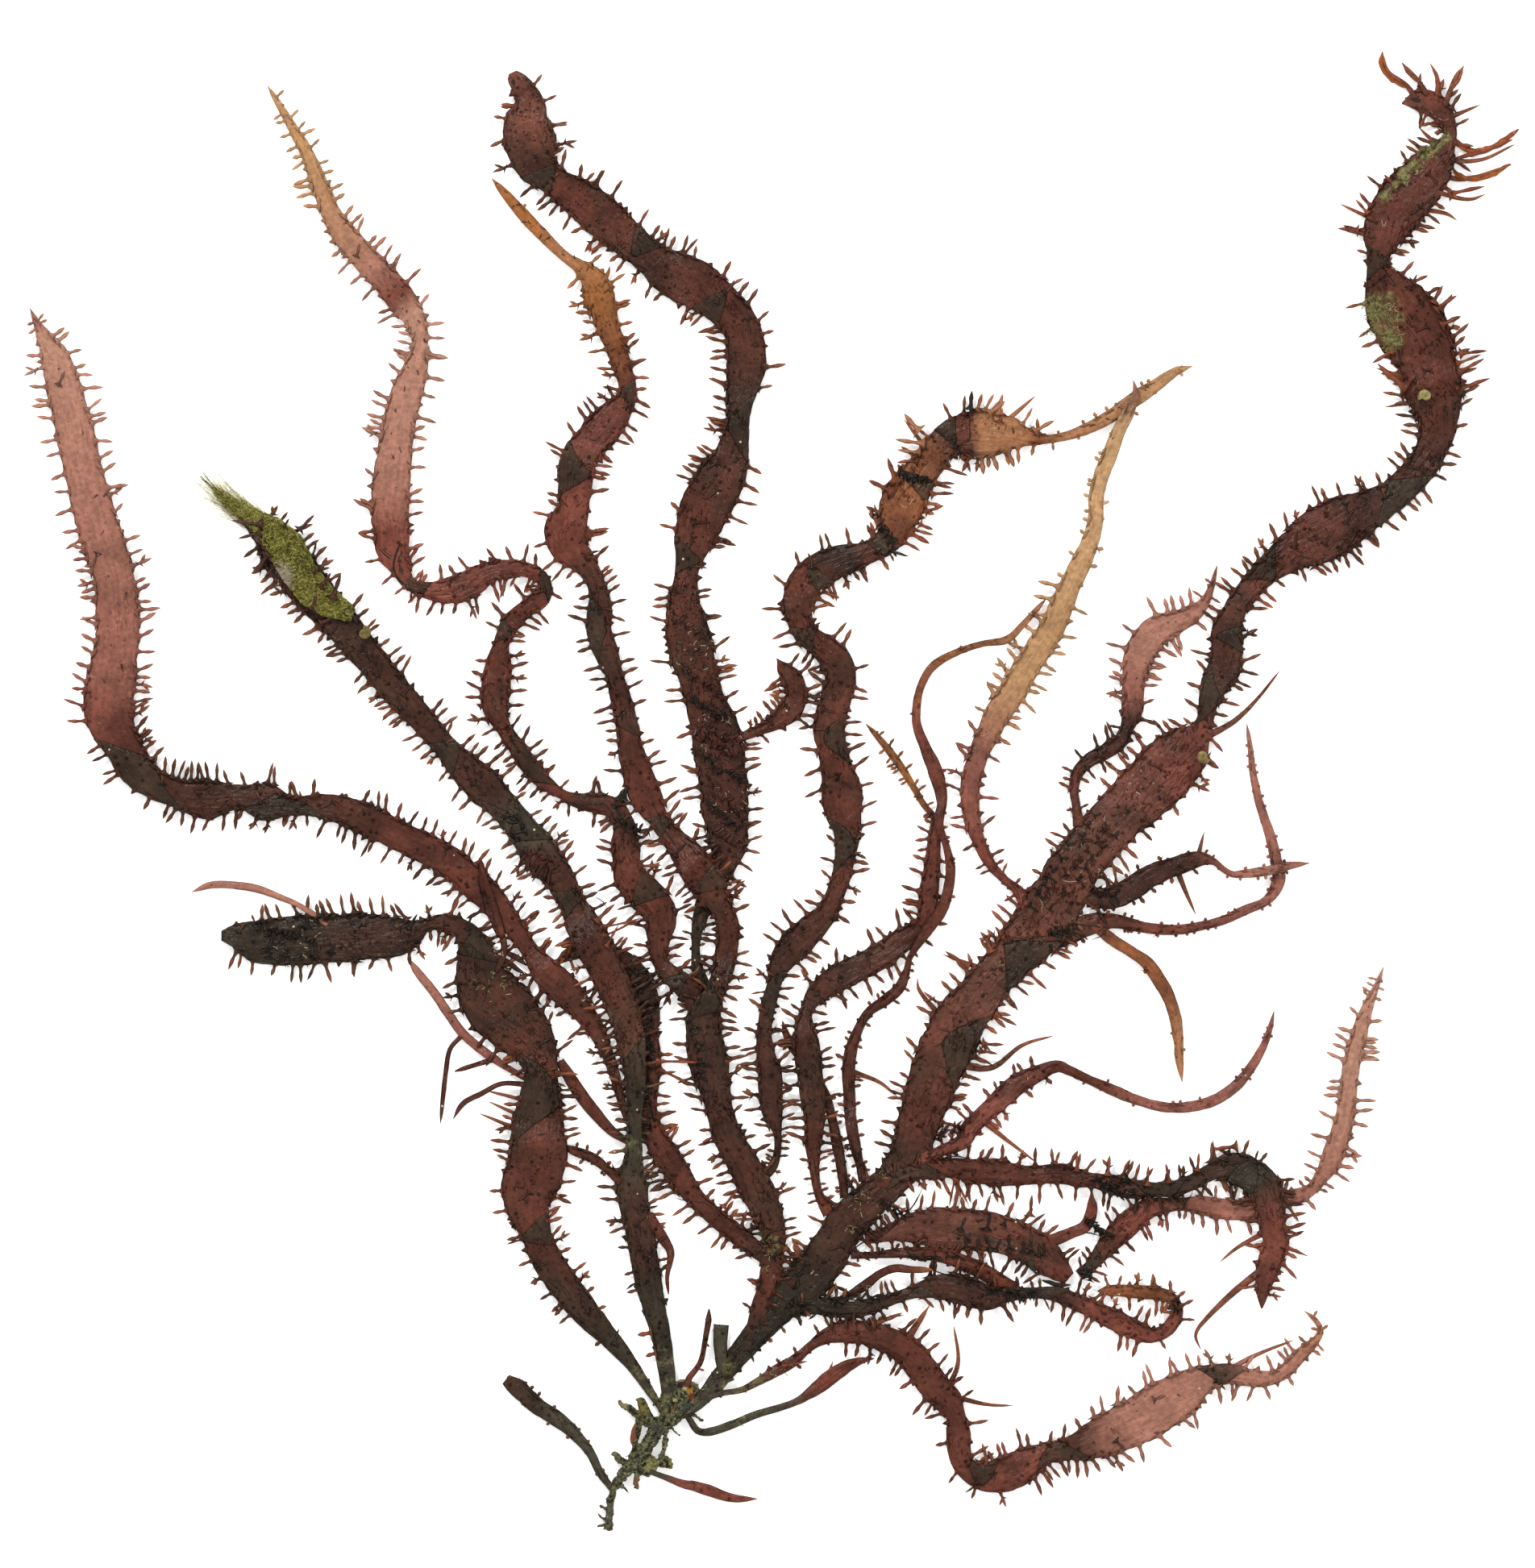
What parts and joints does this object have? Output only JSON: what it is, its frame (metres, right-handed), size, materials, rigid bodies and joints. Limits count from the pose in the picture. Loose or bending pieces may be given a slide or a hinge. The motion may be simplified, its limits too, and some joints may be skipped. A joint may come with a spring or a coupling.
{
  "type": "red seaweed specimen",
  "caption": "Whole red seaweed laid out flat: a knotted stipe with long strap-shaped fronds that fork, bend and cross, edged with small spines.",
  "frame": {"origin": "the flat underside of the crown, where the fronds spring from the stipe", "axes": "+Z away from the surface that the plant lies on, +Y up the plant along its longest fronds, +X to the right as seen from above"},
  "size_m": [0.2111, 0.2081, 0.0033],
  "materials": {
    "blade": "dark maroon-brown leathery blade, semi-gloss, with tiny dark dots",
    "pink_blade": "dusky pink translucent blade, semi-gloss",
    "tan_blade": "tan to orange-brown translucent blade, semi-gloss",
    "red_blade": "wine-red translucent blade, semi-gloss",
    "green_threads": "soft olive-green threads",
    "stalk": "grey-green round stalk with an olive crust",
    "shell": "tiny brown-grey snail shell"
  },
  "bodies": {
    "root": {"right_tall_frond": "blade", "bumpy_frond": "blade", "middle_frond": "blade", "crossing_frond": "blade", "left_tall_frond": "blade", "far_left_frond": "pink_blade", "left_blunt_frond": "blade", "upper_left_frond": "pink_blade", "wide_red_blade": "red_blade", "upper_slim_blade": "blade", "lowest_frond": "tan_blade", "looped_frond": "blade", "pale_tip_frond": "tan_blade", "bent_down_frond": "blade", "rising_branch": "red_blade", "slim_frond_short": "blade", "slim_frond_long": "blade", "slim_frond_bent": "blade", "curled_frond": "blade", "pale_frond": "tan_blade", "pink_branch": "pink_blade", "falling_branch": "pink_blade", "hooked_branch": "tan_blade", "arched_branch": "pink_blade", "low_left_blade": "blade", "low_red_blade": "red_blade", "low_folded_blade": "red_blade", "crown_blade": "red_blade", "green_tuft": "green_threads", "stipe": "stalk", "snail_shell_right": "shell", "snail_shell_middle": "shell", "snail_shell_left": "shell"}
  },
  "joints": []
}
